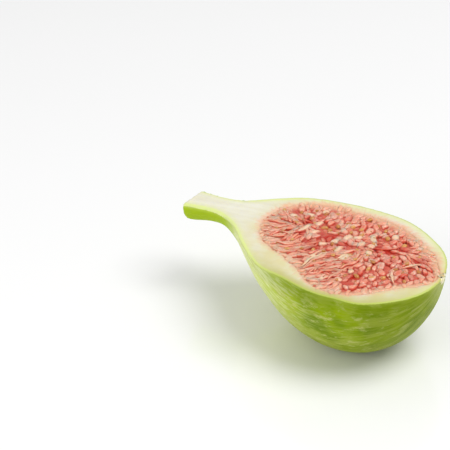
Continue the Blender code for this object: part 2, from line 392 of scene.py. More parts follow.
def wall_finish():
    """Lime skin with pale lengthwise streaks, a bright line at the cut, white flesh inside."""
    finish = Finish("fig_skin_and_flesh")
    place = finish.place()
    round_fig, round_pulp = finish.vector("round_fig"), finish.vector("round_pulp")
    under_skin, off_pulp = finish.number("under_skin"), finish.number("off_pulp")
    cut_face = finish.number("cut_face")
    height = finish.node("ShaderNodeSeparateXYZ", {}, {"Vector": place}, output="Z")

    bands = finish.noise(finish.stretched(round_fig, (0.045, 5.0, 5.0)), 1.0, 3.0, 0.55)
    streaks = finish.noise(finish.stretched(round_fig, (0.13, 22.0, 22.0)), 1.0, 3.0, 0.6)
    fine_streaks = finish.noise(finish.stretched(round_fig, (0.28, 48.0, 48.0)), 1.0, 2.0, 0.6)
    clouds = finish.noise(place, 85.0, 3.0, 0.55)
    along = finish.node("ShaderNodeSeparateXYZ", {}, {"Vector": round_fig}, output="X")
    neck = 1.0 - along.step(-56.0, -34.0)
    # Painted shade: the skin is mixed darker towards the bottom, near the floor
    low = 1.0 - height.step(2.0 * MM, 19.0 * MM)
    pale = (streaks + (bands - 0.5) * 0.9).step(0.5, 0.58) * 0.65 + fine_streaks.step(0.46, 0.6) * 0.35
    skin = finish.mix(clouds.step(0.35, 0.7), colour(100, 130, 0), colour(154, 178, 0))
    skin = finish.mix(low * 0.5, skin, colour(124, 136, 0))
    left = 1.0 - along.step(-52.0, -24.0)
    skin = finish.mix(left * 0.95, skin, colour(212, 228, 84))
    skin = finish.mix(pale * 0.65, skin, colour(180, 190, 84))
    skin = finish.mix(left * fine_streaks.step(0.48, 0.6) * 0.7, skin, colour(244, 250, 196))
    flecks = finish.noise(finish.stretched(round_fig, (0.22, 11.0, 11.0)), 1.0, 6.0, 0.75)
    skin = finish.mix(flecks.step(0.51, 0.64) * 0.6, skin, colour(208, 210, 130))
    below_rim = height.step(CUT_HEIGHT - 5.0 * MM, CUT_HEIGHT - 1.2 * MM) * along.step(-52.0, -44.0)
    skin = finish.mix(below_rim * 0.5, skin, colour(124, 148, 0))
    skin = finish.mix(along.step(-24.0, -8.0) * 0.35, skin, colour(118, 132, 4))
    neck_streaks = 0.5 + fine_streaks.step(0.44, 0.58) * 0.5
    skin = finish.mix(neck * 0.95 * neck_streaks, skin, colour(242, 248, 188))
    stem = 1.0 - along.step(-66.0, -58.0)
    skin = finish.mix(stem * 0.95, skin, colour(172, 200, 0))
    under_rim = height.step(CUT_HEIGHT - 1.8 * MM, CUT_HEIGHT - 0.3 * MM)
    skin = finish.mix(under_rim * (0.1 + stem * 0.3), skin, colour(214, 228, 104))
    off_eye = finish.number("off_eye")
    rays = finish.noise(finish.stretched(round_fig, (0.02, 22.0, 22.0)), 1.0, 2.0, 0.6)
    skin = finish.mix((1.0 - off_eye.step(2.0, 10.0)) * (0.1 + rays * 0.7), skin, colour(206, 210, 136))
    skin = finish.mix((1.0 - off_eye.step(1.0, 3.0)) * 0.6, skin, colour(196, 186, 108))

    fibres = finish.noise(finish.stretched(place, (60.0, 420.0, 420.0)), 1.0, 4.0, 0.6)
    flesh = finish.mix(fibres.step(0.3, 0.75), colour(227, 223, 200), colour(234, 232, 214))
    yellow = finish.noise(place, 95.0, 3.0, 0.55)
    round_side = finish.node("ShaderNodeSeparateXYZ", {}, {"Vector": round_pulp}, output="Y")
    near_side = (0.0 - round_side).step(-0.3, 0.8)
    flesh = finish.mix(near_side * yellow.step(0.3, 0.62) * 0.8, flesh, colour(218, 208, 152))
    round_hollow = 1.0 - off_pulp.step(0.5, 5.5)
    flesh = finish.mix(round_hollow * yellow.step(0.35, 0.6) * 0.5, flesh, colour(222, 208, 142))
    flesh = finish.mix((1.0 - under_skin.step(0.3, 3.0)) * 0.7, flesh, colour(222, 226, 158))
    nearest = (0.0 - round_side).step(0.3, 0.95)
    # The flesh on the nearest side, close to the skin, is darker and yellower: partly its own colour,
    # partly painted shade
    yellowed_and_shaded = (1.0 - under_skin.step(0.4, 5.5)) * nearest * (0.65 + yellow * 0.5)
    flesh = finish.mix(yellowed_and_shaded, flesh, colour(194, 188, 118))
    line_tint = finish.mix(neck, colour(184, 204, 84), colour(222, 236, 146))
    flesh = finish.mix((1.0 - (under_skin - neck * 0.5).step(0.15, 0.85)) * 0.75, flesh, line_tint)
    rays_in = finish.noise(finish.stretched(round_pulp, (26.0, 26.0, 0.5)), 1.0, 4.0, 0.65)
    ray_ends = rays_in.step(0.5, 0.75) * (1.0 - off_pulp.step(1.0, 6.0))
    flesh = finish.mix(ray_ends * 0.35, flesh, colour(216, 196, 132))
    blush = (1.6 - off_pulp * 0.65 + (rays_in - 0.5) * 2.6 + (fibres - 0.5) * 1.5).step(0.0, 1.9)
    flesh = finish.mix(blush * 0.85, flesh, colour(236, 176, 142))
    flesh = finish.mix((1.0 - off_eye.step(0.6, 3.0)) * 0.5, flesh, colour(224, 178, 134))
    inside = (under_skin.step(0.12, 0.32) + cut_face).step(0.45, 0.95)
    finish.set(Base_Color=finish.mix(inside, skin, flesh))
    finish.set(Roughness=0.46 - inside * 0.12 + pale * 0.05, Specular_IOR_Level=0.08)
    finish.set(Coat_Weight=0.02 + inside * 0.3, Coat_Roughness=0.2, IOR=1.4)
    finish.set(Subsurface_Weight=0.18, Subsurface_Radius=(1.0, 0.9, 0.4), Subsurface_Scale=0.0022)
    pores = finish.noise(place, 1500.0, 2.0, 0.6)
    skin_relief = fine_streaks * 0.7 + pores * 0.25
    flesh_relief = fibres * 0.8 + pores * 0.5
    relief = skin_relief * (1.0 - inside) + flesh_relief * inside
    finish.bump(relief, 0.00022, 0.55)
    return finish.material


fig_wall.data.materials.clear()
fig_wall.data.materials.append(wall_finish())
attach(fig_wall, "root")
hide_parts("fruit_wall")

# The scales round the eye: a small ring of dry, cream, pointed bracts at the fig's far tip, grown
# out of the wall. The knife went through the middle of the ring, so five of them are left,
# and it bared the smaller scales that close the narrow canal behind the eye.
BRACT_COUNT = 5
BRACT_RING = 1.45 * MM
BRACT_HALF_SIZES = np.array((0.42, 0.6, 1.0)) * MM
BRACT_SINK = 0.4 * MM
CANAL_SCALES = 3
CANAL_SCALE_SIZE = 0.5
CANAL_MOUTH = Vector((-0.35, 0.0, -0.05)) * MM
CANAL_STEP = 0.4 * MM
CANAL_HALF_WIDTH = 0.4 * MM


def make_bract():
    """One bract, a flattened ball drawn to a blunt point along +Z."""
    bpy.ops.object.select_all(action="DESELECT")
    bpy.ops.mesh.primitive_uv_sphere_add(segments=12, ring_count=10, radius=1.0)
    bract = bpy.context.object
    points = mesh_points(bract)
    points[:, :2] *= (1.0 - 0.35 * np.maximum(points[:, 2], 0.0))[:, None]
    set_mesh_points(bract, points * BRACT_HALF_SIZES)
    bpy.ops.object.shade_smooth()
    return bract


def bract_finish():
    finish = Finish("eye_bract_tan")
    grain = finish.noise(finish.place(), 900.0, 3.0, 0.6)
    cream = finish.mix(grain.step(0.3, 0.7), colour(228, 216, 160), colour(248, 242, 212))
    finish.set(Base_Color=cream)
    finish.set(Roughness=0.4, Coat_Weight=0.4, Coat_Roughness=0.1)
    finish.bump(grain, 0.0001, 0.6)
    return finish.material


bracts = []
for index in range(BRACT_COUNT):
    angle = math.pi * (index + 0.5) / BRACT_COUNT
    outward = Vector((0.0, math.cos(angle), -math.sin(angle)))
    bracts.append(make_bract())
    turn = outward.to_track_quat("Z", "X").to_matrix().to_4x4()
    place = eye + outward * BRACT_RING - Vector((BRACT_SINK, 0.0, 0.0))
    bracts[-1].data.transform(Matrix.Translation(place) @ turn)
for index in range(CANAL_SCALES):
    bracts.append(make_bract())
    side = 1.0 if index % 2 else -1.0
    inward = Vector((-1.0, -0.35 * side, 0.12))
    turn = inward.to_track_quat("Z", "Y").to_matrix().to_4x4()
    place = eye + CANAL_MOUTH + Vector((-CANAL_STEP * index, side * CANAL_HALF_WIDTH, 0.0))
    bracts[-1].data.transform(Matrix.Translation(place) @ turn @ Matrix.Scale(CANAL_SCALE_SIZE, 4))
bpy.ops.object.select_all(action="DESELECT")
for bract in bracts:
    bract.select_set(True)
bpy.context.view_layer.objects.active = bracts[0]
bpy.ops.object.join()
eye_bracts = bracts[0]
eye_bracts.name = eye_bracts.data.name = "eye_bracts"
bisect_body(eye_bracts, cut_plane, Vector((0.0, 0.0, 1.0)))
eye_bracts.data.materials.append(bract_finish())
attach(eye_bracts, "root")

# The bed of the pulp: the wet mass of juice, stalks and crushed small fruits that fills the
# hollow down to the flesh. It shows only as red between the small fruits on the cut, darkest
# where the pulp is torn and the juice stands.
BED_OVERLAP = 0.15 * MM
BED_RIM_SINK = 0.24 * MM
BED_SINK = 0.6 * MM
BED_WAVES = 0.4 * MM
BED_GRID = (96, 100)
BED_VOXEL = 0.5 * MM
BED_CUTTER = 200.0 * MM

# Places on the cut, here and below, are in millimetres from FIG_PLACE. Here each has a reach.
JUICE_SPOTS = (
    (-34.4, 4.2, 2.8), (-23.3, 4.0, 2.6), (-20.6, 3.4, 3.2), (-18.0, 3.2, 2.6), (-13.8, 5.5, 3.0),
    (-22.1, -11.4, 3.8), (-9.4, -8.0, 2.8), (-36.7, -2.8, 2.6), (-7.7, 1.2, 3.2), (-42.5, 10.4, 2.4),
    (-30.2, 1.9, 2.4), (-26.1, -6.5, 2.0), (-14.6, -2.0, 2.0), (-42.7, 3.9, 2.0),
)


def juice_at(points):
    """1 where the juice stands in the torn pulp, falling to 0 round each of those places."""
    local = points[:, :2] / MM - np.array(FIG_PLACE)[:2] / MM
    return np.max([1.0 - smoothstep(0.25 * reach, reach, np.hypot(local[:, 0] - x, local[:, 1] - y))
                   for x, y, reach in JUICE_SPOTS], axis=0)


pulp_bed = turned_fig_body("pulp_bed", HOLLOW_SECTIONS, *BED_GRID, inset=-BED_OVERLAP)
bed_height = CUT_HEIGHT - BED_RIM_SINK
bpy.ops.mesh.primitive_cube_add(size=BED_CUTTER, location=(0.0, 0.0, bed_height + BED_CUTTER / 2.0))
cutter = bpy.context.object
apply_modifier(pulp_bed, "BOOLEAN", operation="DIFFERENCE", object=cutter)
remove_thing(cutter)
apply_modifier(pulp_bed, "REMESH", mode="VOXEL", voxel_size=BED_VOXEL, use_smooth_shade=True)
bed_points = mesh_points(pulp_bed)
bed_off_flesh = distances(hollow_tree, bed_points)
bed_top = smoothstep(bed_height - 0.4 * MM, bed_height - 0.1 * MM, bed_points[:, 2])
bed_dip = BED_SINK - BED_RIM_SINK - BED_WAVES * noise_at(bed_points, 650.0, 6.0)
bed_points[:, 2] -= bed_top * smoothstep(0.3 * MM, 2.0 * MM, bed_off_flesh) * bed_dip
set_mesh_points(pulp_bed, bed_points)
keep_number(pulp_bed, "off_flesh", bed_off_flesh / MM)
keep_number(pulp_bed, "juice", juice_at(bed_points))


def bed_finish():
    finish = Finish("pulp_bed_wet_red")
    place = finish.place()
    patches = finish.noise(place, 420.0, 4.0, 0.6)
    red = finish.mix(patches.step(0.35, 0.7), colour(200, 74, 60), colour(224, 118, 94))
    red = finish.mix(finish.number("juice"), red, colour(188, 34, 14))
    pale = 1.0 - (finish.number("off_flesh") + (patches - 0.5) * 2.5).step(0.2, 2.8)
    finish.set(Base_Color=finish.mix(pale * 0.95, red, colour(238, 184, 148)))
    finish.set(Roughness=0.3, Coat_Weight=0.25, Coat_Roughness=0.08, Specular_IOR_Level=0.3)
    finish.set(Subsurface_Weight=0.25, Subsurface_Radius=(1.0, 0.25, 0.15), Subsurface_Scale=0.0015)
    finish.bump(finish.noise(place, 1400.0, 4.0, 0.6), 0.0004, 0.8)
    return finish.material


pulp_bed.data.materials.append(bed_finish())
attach(pulp_bed, "root")
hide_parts("pulp")

# The small fruits of the pulp: soft pods like drops, each on its own stalk, that grow from
# the flesh inwards and lie packed side by side. The knife opened them lengthwise, so they
# show pale and translucent, with the red juice dark in the grooves between them, deepened
# by painted shade.
SEAM = [Vector(point) * MM for point in ((-43.0, 9.5), (-33.0, 6.0), (-24.0, 4.0), (-13.0, 4.2))]
CRACKS = [(Vector(start) * MM, Vector(end) * MM) for start, end in (
    ((-25.2, 3.3), (-17.0, 3.5)), ((-36.7, 2.7), (-34.6, 10.4)), ((-16.0, 8.4), (-12.2, 8.3)),
    ((-24.1, -10.2), (-21.3, -12.0)), ((-12.0, -4.8), (-8.1, -1.1)), ((-44.3, 9.5), (-41.9, 9.2)),
)]
CRACK_HALF_WIDTH = 1.0 * MM
NEAR_LEFT_TURN = math.radians(34.0)
PALE_PODS = (
    (-29.9, -0.1, 78, 2.0, 0.9), (-22.8, 7.4, 113, 3.2, 1.1), (-25.3, 4.2, 70, 1.7, 1.1),
    (-34.9, 0.9, 34, 1.4, 1.2), (-35.3, -5.7, 73, 1.4, 1.1), (-39.4, 10.6, 50, 1.6, 1.1),
    (-39.3, 6.1, 41, 1.8, 1.1), (-42.4, 6.4, 67, 3.2, 0.8), (-29.5, 6.1, 47, 1.9, 1.1),
    (-32.3, 3.4, 59, 1.4, 1.2), (-22.1, 0.6, -13, 1.4, 1.2), (-23.2, -9.8, 39, 1.1, 1.0),
    (-17.8, 10.9, 78, 1.7, 1.0), (-47.6, 12.4, 41, 1.8, 1.5), (-43.4, 14.2, 48, 1.8, 1.5),
    (-39.8, 17.3, 1, 1.4, 1.3), (-27.1, -4.5, 66, 3.0, 0.9), (-26.9, 7.2, 54, 1.4, 1.2),
    (-29.3, -16.1, 79, 1.7, 0.9), (-24.6, -14.6, 10, 1.5, 1.4), (-22.2, 4.1, -19, 1.5, 1.1),
)
PALE_POD_TOP = 0.4 * MM
PALE_POD_ROOM = 0.7
SEAM_REACH = 6.0 * MM
NEAR_LEFT = ((-20.0, -28.0), (2.0, -5.0))
STEM_END_STRANDS = ((-38.0, -44.0), (14.0, 10.0))
TIP_STRANDS = ((-15.0, -9.0), (-5.0, 0.0))
PULP_LENGTH = (-55.0, -1.0)
PULP_WIDTH = (-23.0, 23.5)
COPY_SIZES = (0.72, 1.25)
HEADING_SPREAD = 0.3
SHORTEST_COPY = 0.8 * MM
OVERREACH = 0.9 * MM
DARKER_TINTS = 0.8
POD_SEED = 11
POD_HALF_LENGTH = 1.9 * MM
POD_HALF_WIDTH = 1.05 * MM
UPPER_TRIES, UPPER_CLOSENESS, UPPER_MARGIN = 40000, 0.61, 0.35 * MM
LOWER_TRIES, LOWER_CLOSENESS, LOWER_MARGIN = 9000, 0.85, 0.4 * MM
UPPER_TOPS, UPPER_LIFTS = (-0.4 * MM, 0.5 * MM), (-0.16, 0.12)
LOWER_TOPS, LOWER_LIFTS = (-0.65 * MM, -0.3 * MM), (-0.1, 0.1)
POD_BEND, POD_DENT = 0.16, 0.045
FLUSH = 0.2 * MM
JUICE_DIP = 0.25 * MM
WARPS = ((2.6 * MM, 0.55 * MM), (1.1 * MM, 0.16 * MM))

hollow_samples = smooth_sections(HOLLOW_SECTIONS)


def hollow_edges(x):
    half = np.interp(-x, -hollow_samples[:, 0], hollow_samples[:, 1])
    lean = np.interp(-x, -hollow_samples[:, 0], hollow_samples[:, 3])
    return lean - half, lean + half


def nearest_on(start, end, point):
    along = end - start
    share = max(0.0, min(1.0, (point - start).dot(along) / along.length_squared))
    return start + along * share


def edge_room(point):
    """How far a point on the cut face lies inside the pulp's outline."""
    world = Vector((point.x, point.y, 0.0)) + FIG_PLACE
    near, far = hollow_edges(point.x)
    distance = hollow_tree.find_nearest(world)[3]
    return distance if near < point.y < far else -distance


def share_in(region, point):
    """1 inside a region of the cut. The region says where this begins and is full, along and across."""
    along, across = region
    return float(smoothstep(*along, point.x / MM) * smoothstep(*across, point.y / MM))


def flow_heading(point):
    """Everything in the pulp points from the flesh to the seam; on the seam it follows it."""
    legs = [(nearest_on(a, b, point), (b - a).normalized()) for a, b in zip(SEAM, SEAM[1:])]
    middle, seam = min(legs, key=lambda leg: (leg[0] - point).length)
    inward = middle - point
    share = min(1.0, inward.length / SEAM_REACH)
    if inward.dot(seam) < 0.0:
        seam = -seam
    heading = seam * (1.0 - share)
    if inward.length > 1e-6:
        heading += inward.normalized() * share
    return turned(heading.normalized(), -NEAR_LEFT_TURN * share_in(NEAR_LEFT, point))


def turned(heading, angle):
    return Vector((heading.x * math.cos(angle) - heading.y * math.sin(angle),
                   heading.x * math.sin(angle) + heading.y * math.cos(angle)))


def strand_share(point):
    """1 where the pulp is drawn into long strands: at the stem's end, the near left and the tip."""
    share = max(share_in(STEM_END_STRANDS, point), 0.9 * share_in(NEAR_LEFT, point),
                0.6 * share_in(TIP_STRANDS, point))
    patch = 0.25 * noise.noise(Vector((point.x / MM, point.y / MM, 4.0)) * 0.22)
    return min(1.0, max(0.0, share + patch - 0.05))


def pod_sizes(point):
    """Half length and half width of a pod."""
    return POD_HALF_LENGTH, POD_HALF_WIDTH * (1.0 - 0.4 * strand_share(point))


def scatter(rng, tries, closeness, sizes, wanted, margin, taken=()):
    """Random places in the outline, none closer than the copies' own length and width."""
    cell = 5.0 * MM
    grid, chosen = {}, []
    for place, reach in taken:
        key = (int(place.x // cell), int(place.y // cell))
        grid.setdefault(key, []).append((place, reach, reach))
    for _ in range(tries):
        point = Vector((rng.uniform(*PULP_LENGTH), rng.uniform(*PULP_WIDTH))) * MM
        room = edge_room(point)
        if room < margin or rng.random() > wanted(point):
            continue
        grow = rng.uniform(*COPY_SIZES)
        half_along, half_across = (size * grow for size in sizes(point))
        heading = turned(flow_heading(point), rng.gauss(0.0, HEADING_SPREAD))
        side = Vector((-heading.y, heading.x))
        key = (int(point.x // cell), int(point.y // cell))
        close = False
        for column in range(key[0] - 1, key[0] + 2):
            for row in range(key[1] - 1, key[1] + 2):
                for other, other_along, other_across in grid.get((column, row), ()):
                    gap = point - other
                    reach = math.hypot(gap.dot(heading) / (half_along + other_along),
                                       gap.dot(side) / (half_across + other_across))
                    close = close or reach < closeness
        if not close:
            grid.setdefault(key, []).append((point, half_along, half_across))
            chosen.append((point, heading, half_along, half_across, room))
    return chosen


def outside_crack(point):
    gap = min((point - nearest_on(start, end, point)).length for start, end in CRACKS)
    return 0.0 if gap < CRACK_HALF_WIDTH else 1.0


def laid_rows(rng, places, tops, lifts):
    """Place, heading, sizes, tint and room of the copies at these places."""
    rows = []
    for point, heading, half_along, half_across, room in places:
        half_along = min(half_along, max(SHORTEST_COPY, room + OVERREACH))
        top = rng.uniform(*tops)
        place = Vector((point.x, point.y, top - half_across)) + FIG_PLACE
        lift = rng.uniform(*lifts)
        rows.append((place, Vector((heading.x, heading.y, lift)), half_along, half_across,
                     rng.random() * DARKER_TINTS, room))
    return rows


def unit_ball(sides, rings, taper):
    """One drop-shaped ball, pointing along +X, as points and faces."""
    bpy.ops.object.select_all(action="DESELECT")
    bpy.ops.mesh.primitive_uv_sphere_add(segments=sides, ring_count=rings, radius=1.0,
                                         rotation=(0.0, math.pi / 2.0, 0.0))
    ball = bpy.context.object
    bpy.ops.object.transform_apply(location=False, rotation=True, scale=False)
    points = mesh_points(ball)
    points[:, 1:] *= (1.0 - taper * (points[:, 0] + 0.15))[:, None]
    faces = [tuple(face.vertices) for face in ball.data.polygons]
    remove_thing(ball)
    return points, faces


def copies_as_one(name, unit, rows, bend, dent, rng, drawn=()):
    """One mesh of many copies, each turned, sized, bent and slightly dented on its own."""
    points, faces = unit
    copies = []
    for place, heading, half_along, half_across, tint, room in rows:
        turn = np.array(heading.to_track_quat("X", "Z").to_matrix())
        shaped = points * np.array((half_along, half_across, half_across))
        shaped *= 1.0 + dent * np.array([rng.uniform(-1.0, 1.0) for _ in points])[:, None]
        sway = bend * half_along * rng.uniform(-1.0, 1.0)
        wave = 0.4 * bend * half_along * rng.uniform(-1.0, 1.0)
        shaped[:, 1] += sway * (points[:, 0] ** 2 - 0.5) + wave * np.sin(4.0 * points[:, 0])
        copies.append((shaped @ turn.T + np.array(place), tint, room / MM))
    copies.extend(drawn)
    stacked = np.vstack([shaped for shaped, _, _ in copies])
    juice = juice_at(stacked)
    stacked[:, 2] -= JUICE_DIP * juice
    for size, amount in WARPS:
        stacked += amount * np.array([noise.noise_vector(Vector(point) / size) for point in stacked])
    proud = stacked[:, 2] - CUT_HEIGHT
    stacked[:, 2] = CUT_HEIGHT + np.where(proud > 0.0, FLUSH * np.tanh(proud / (2.0 * FLUSH)), proud)
    all_faces = [tuple(index + number * len(points) for index in face)
                 for number in range(len(copies)) for face in faces]
    mesh = bpy.data.meshes.new(name)
    mesh.from_pydata(stacked.tolist(), [], all_faces)
    mesh.shade_smooth()
    thing = bpy.data.objects.new(name, mesh)
    bpy.context.scene.collection.objects.link(thing)
    keep_number(thing, "tint", np.repeat([tint for _, tint, _ in copies], len(points)))
    keep_number(thing, "off_flesh", np.repeat([room for _, _, room in copies], len(points)))
    keep_number(thing, "rise", np.tile(points[:, 2], len(copies)))
    keep_number(thing, "juice", juice)
    return thing


def pod_finish(name, young, ripe, white, speckle_and_highlight, wet):
    """Pale and translucent on top with painted highlights, and red juice and painted shade round every
    pod's edge.
    """
    finish = Finish(name)
    place = finish.place()
    tint, off_flesh, rise = finish.number("tint"), finish.number("off_flesh"), finish.number("rise")
    height = finish.node("ShaderNodeSeparateXYZ", {}, {"Vector": place}, output="Z")
    blotch = finish.noise(place, 240.0, 3.0, 0.55)
    mottle_and_highlight = finish.noise(place, 900.0, 3.0, 0.6)
    body = finish.mix((tint * 0.7 + blotch * 0.9 - 0.3).step(0.0, 0.75), ripe, young)
    mauve = finish.noise(place, 110.0, 2.0, 0.5).step(0.42, 0.62) * off_flesh.step(1.0, 5.0)
    body = finish.mix(mauve * 0.45 * speckle_and_highlight, body, colour(216, 142, 132))
    body = finish.mix(tint.step(0.56, 0.66) * 0.45, body, colour(236, 192, 170))
    is_white = tint.step(0.85, 0.95)
    body = finish.mix(is_white * 0.8, body, white)
    body = finish.mix((1.0 - off_flesh.step(0.4, 4.0)) * 0.7, body, colour(240, 174, 146))
    body = finish.mix((1.0 - off_flesh.step(0.0, 1.8)) * 0.6, body, colour(242, 208, 168))
    body = finish.mix(mottle_and_highlight.step(0.5, 0.72) * 0.4 * speckle_and_highlight, body, colour(210, 92, 70))
    # Painted highlight: near-white flecks on the pods, partly pale spots of their own, partly standing in
    # for wet glints
    body = finish.mix((1.0 - mottle_and_highlight.step(0.36, 0.46)) * 0.45 * speckle_and_highlight, body, colour(255, 222, 204))
    middle = rise.step(0.8, 0.98) * off_flesh.step(1.5, 4.0)
    body = finish.mix(middle * 0.3, body, colour(212, 126, 108))
    wall = rise.step(0.5, 0.7) * (1.0 - rise.step(0.78, 0.94))
    body = finish.mix(wall * 0.35, body, colour(248, 184, 156))
    juice = finish.number("juice")
    body = finish.mix(juice * (0.7 - is_white * 0.65), body, colour(206, 66, 46))
    inner = 0.3 + off_flesh.step(0.4, 3.6) * 0.7
    # Painted shade: the lower flank of every pod is coloured deep red, for the juice between the pods and
    # for the shade there
    rim = 1.0 - (rise + (mottle_and_highlight - 0.5) * 0.3).step(0.35, 0.75)
    groove_juice_and_shade = finish.mix(juice, colour(208, 76, 54), colour(188, 38, 18))
    body = finish.mix(rim * inner * (0.8 - is_white * 0.4), body, groove_juice_and_shade)
    # Painted shade: the colour turns deep red with depth under the cut, for the juice lying there and for
    # the shade in the hollows
    sunk = 1.0 - height.step(CUT_HEIGHT - 0.85 * MM, CUT_HEIGHT - 0.05 * MM)
    depth = finish.mix(juice, colour(196, 54, 38), colour(172, 18, 6))
    finish.set(Base_Color=finish.mix(sunk * inner * 0.9, body, depth))
    finish.set(Roughness=0.3, Specular_IOR_Level=0.3, Coat_Weight=wet, Coat_Roughness=0.06, IOR=1.36)
    finish.set(Subsurface_Weight=0.55, Subsurface_Radius=(1.0, 0.35, 0.25), Subsurface_Scale=0.0012)
    finish.bump(mottle_and_highlight * 0.6 + finish.noise(place, 2200.0, 2.0, 0.5) * 0.4, 0.0002, 0.6)
    return finish.material


def pods_wanted(point):
    return (1.0 - 0.92 * strand_share(point)) * outside_crack(point)


# noise_vector draws its offsets from a seed of its own, so that is set too
noise.seed_set(POD_SEED)
pod_rng = random.Random(POD_SEED)
taken, rows = [], []
for x, y, degrees, half_along, half_across in PALE_PODS:
    point, angle = Vector((x, y)) * MM, math.radians(degrees)
    place = Vector((point.x, point.y, PALE_POD_TOP - half_across * MM)) + FIG_PLACE
    heading = Vector((math.cos(angle), math.sin(angle), 0.05))
    rows.append((place, heading, half_along * MM, half_across * MM, 1.0, edge_room(point)))
    taken.append((point, (half_along + half_across) / 2.0 * MM * PALE_POD_ROOM))
upper = scatter(pod_rng, UPPER_TRIES, UPPER_CLOSENESS, pod_sizes, pods_wanted, UPPER_MARGIN, taken)
lower = scatter(pod_rng, LOWER_TRIES, LOWER_CLOSENESS, pod_sizes, outside_crack, LOWER_MARGIN)
rows += laid_rows(pod_rng, upper, UPPER_TOPS, UPPER_LIFTS)
rows += laid_rows(pod_rng, lower, LOWER_TOPS, LOWER_LIFTS)
pulp_pods = copies_as_one("pulp_pods", unit_ball(9, 6, 0.2), rows, POD_BEND, POD_DENT, pod_rng)
pulp_pods.data.materials.append(pod_finish("pulp_pod_translucent", colour(240, 172, 144),
                                           colour(226, 110, 84), colour(246, 216, 180), 1.0, 0.25))
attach(pulp_pods, "root")

# The strands: young small fruits and their stalks, drawn out long and thin, that sweep in from
# the flesh towards the middle. They lie closest at the stem's end and along the near left.
STRAND_SEED = 23
STRAND_HALF_LENGTH, STRAND_GAIN = 2.6 * MM, 2.4 * MM
STRAND_HALF_WIDTH = 0.66 * MM
STRAND_TRIES, STRAND_CLOSENESS, STRAND_MARGIN = 30000, 0.62, 0.0
FRINGE_TRIES, FRINGE_CLOSENESS, FRINGE_MARGIN = 6000, 0.85, -0.3 * MM
FRINGE_REACH = 2.5 * MM
STRAND_TOPS, STRAND_LIFTS = (-0.3 * MM, 0.3 * MM), (-0.08, 0.05)
FRINGE_TOPS, FRINGE_LIFTS = (-0.35 * MM, 0.0), (-0.08, 0.02)
STRAND_BEND, STRAND_DENT = 0.15, 0.03
LONG_STRANDS = (
    ((-35.4, -14.9), (-34.2, -8.5), (-30.2, -4.7), 0.45, 0.5),
    ((-33.0, -16.8), (-31.4, -10.5), (-26.9, -5.6), 0.4, 0.3),
    ((-36.3, -13.4), (-34.6, -7.0), (-31.4, -3.2), 0.4, 1.0),
    ((-51.7, 3.9), (-47.9, 5.5), (-45.1, 9.4), 0.4, 0.3),
    ((-47.9, 2.6), (-44.2, 3.0), (-42.0, 6.4), 0.5, 0.7),
    ((-13.5, -6.1), (-12.1, -9.1), (-10.6, -12.4), 0.45, 0.9),
    ((-47.7, -2.7), (-44.1, -3.2), (-40.6, -1.3), 0.45, 0.6),
    ((-46.8, -6.5), (-43.0, -6.9), (-39.4, -4.4), 0.4, 0.3),
    ((-27.3, -17.8), (-26.0, -11.3), (-23.1, -8.0), 0.4, 0.4),
    ((-28.8, -7.7), (-27.9, -3.8), (-25.0, -2.6), 0.5, 1.0),
    ((-11.1, -4.4), (-8.8, -1.4), (-5.1, -1.4), 0.4, 0.9),
    ((-15.5, 11.6), (-12.8, 11.1), (-9.7, 8.5), 0.45, 0.5),
    ((-50.9, -0.5), (-47.5, -0.3), (-44.9, 1.8), 0.45, 0.4),
    ((-49.9, 11.7), (-46.9, 10.0), (-43.6, 9.7), 0.45, 0.6),
    ((-21.4, 3.3), (-17.9, 3.9), (-14.7, 6.6), 0.35, 0.2),
)
LONG_STRAND_TOP = 0.5 * MM


def strand_sizes(point):
    """Half length and half width of a strand."""
    return STRAND_HALF_LENGTH + STRAND_GAIN * strand_share(point), STRAND_HALF_WIDTH


def strands_wanted(point):
    return strand_share(point) ** 2 * outside_crack(point)


def fringe_wanted(point):
    return strand_share(point) * max(0.0, 1.0 - edge_room(point) / FRINGE_REACH)


def long_strand(points, start, middle, end, half_across, tint):
    """One strand drawn along a curve through three places on the cut."""
    start, middle, end = (np.array(place) * MM for place in (start, middle, end))
    half_across *= MM
    t = points[:, :1]
    path = middle + t * (end - start) / 2.0 + t ** 2 * ((start + end) / 2.0 - middle)
    tangent = (end - start) / 2.0 + 2.0 * t * ((start + end) / 2.0 - middle)
    side = tangent[:, ::-1] * (-1.0, 1.0) / np.linalg.norm(tangent, axis=1)[:, None]
    level = LONG_STRAND_TOP - half_across + points[:, 2:] * half_across
    placed = np.hstack((path + side * points[:, 1:2] * half_across, level)) + np.array(FIG_PLACE)
    return placed, tint, edge_room(Vector(middle)) / MM


strand_rng = random.Random(STRAND_SEED)
strands = scatter(strand_rng, STRAND_TRIES, STRAND_CLOSENESS, strand_sizes, strands_wanted, STRAND_MARGIN)
fringe = scatter(strand_rng, FRINGE_TRIES, FRINGE_CLOSENESS, strand_sizes, fringe_wanted, FRINGE_MARGIN)
rows = laid_rows(strand_rng, strands, STRAND_TOPS, STRAND_LIFTS)
rows += laid_rows(strand_rng, fringe, FRINGE_TOPS, FRINGE_LIFTS)
strand_unit = unit_ball(6, 10, 0.12)
drawn = [long_strand(strand_unit[0], *strand) for strand in LONG_STRANDS]
pulp_strands = copies_as_one("pulp_strands", strand_unit, rows, STRAND_BEND, STRAND_DENT, strand_rng, drawn)
pulp_strands.data.materials.append(pod_finish("pulp_strand_translucent", colour(248, 180, 148),
                                              colour(236, 118, 90), colour(248, 222, 182), 0.35, 0.12))
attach(pulp_strands, "root")

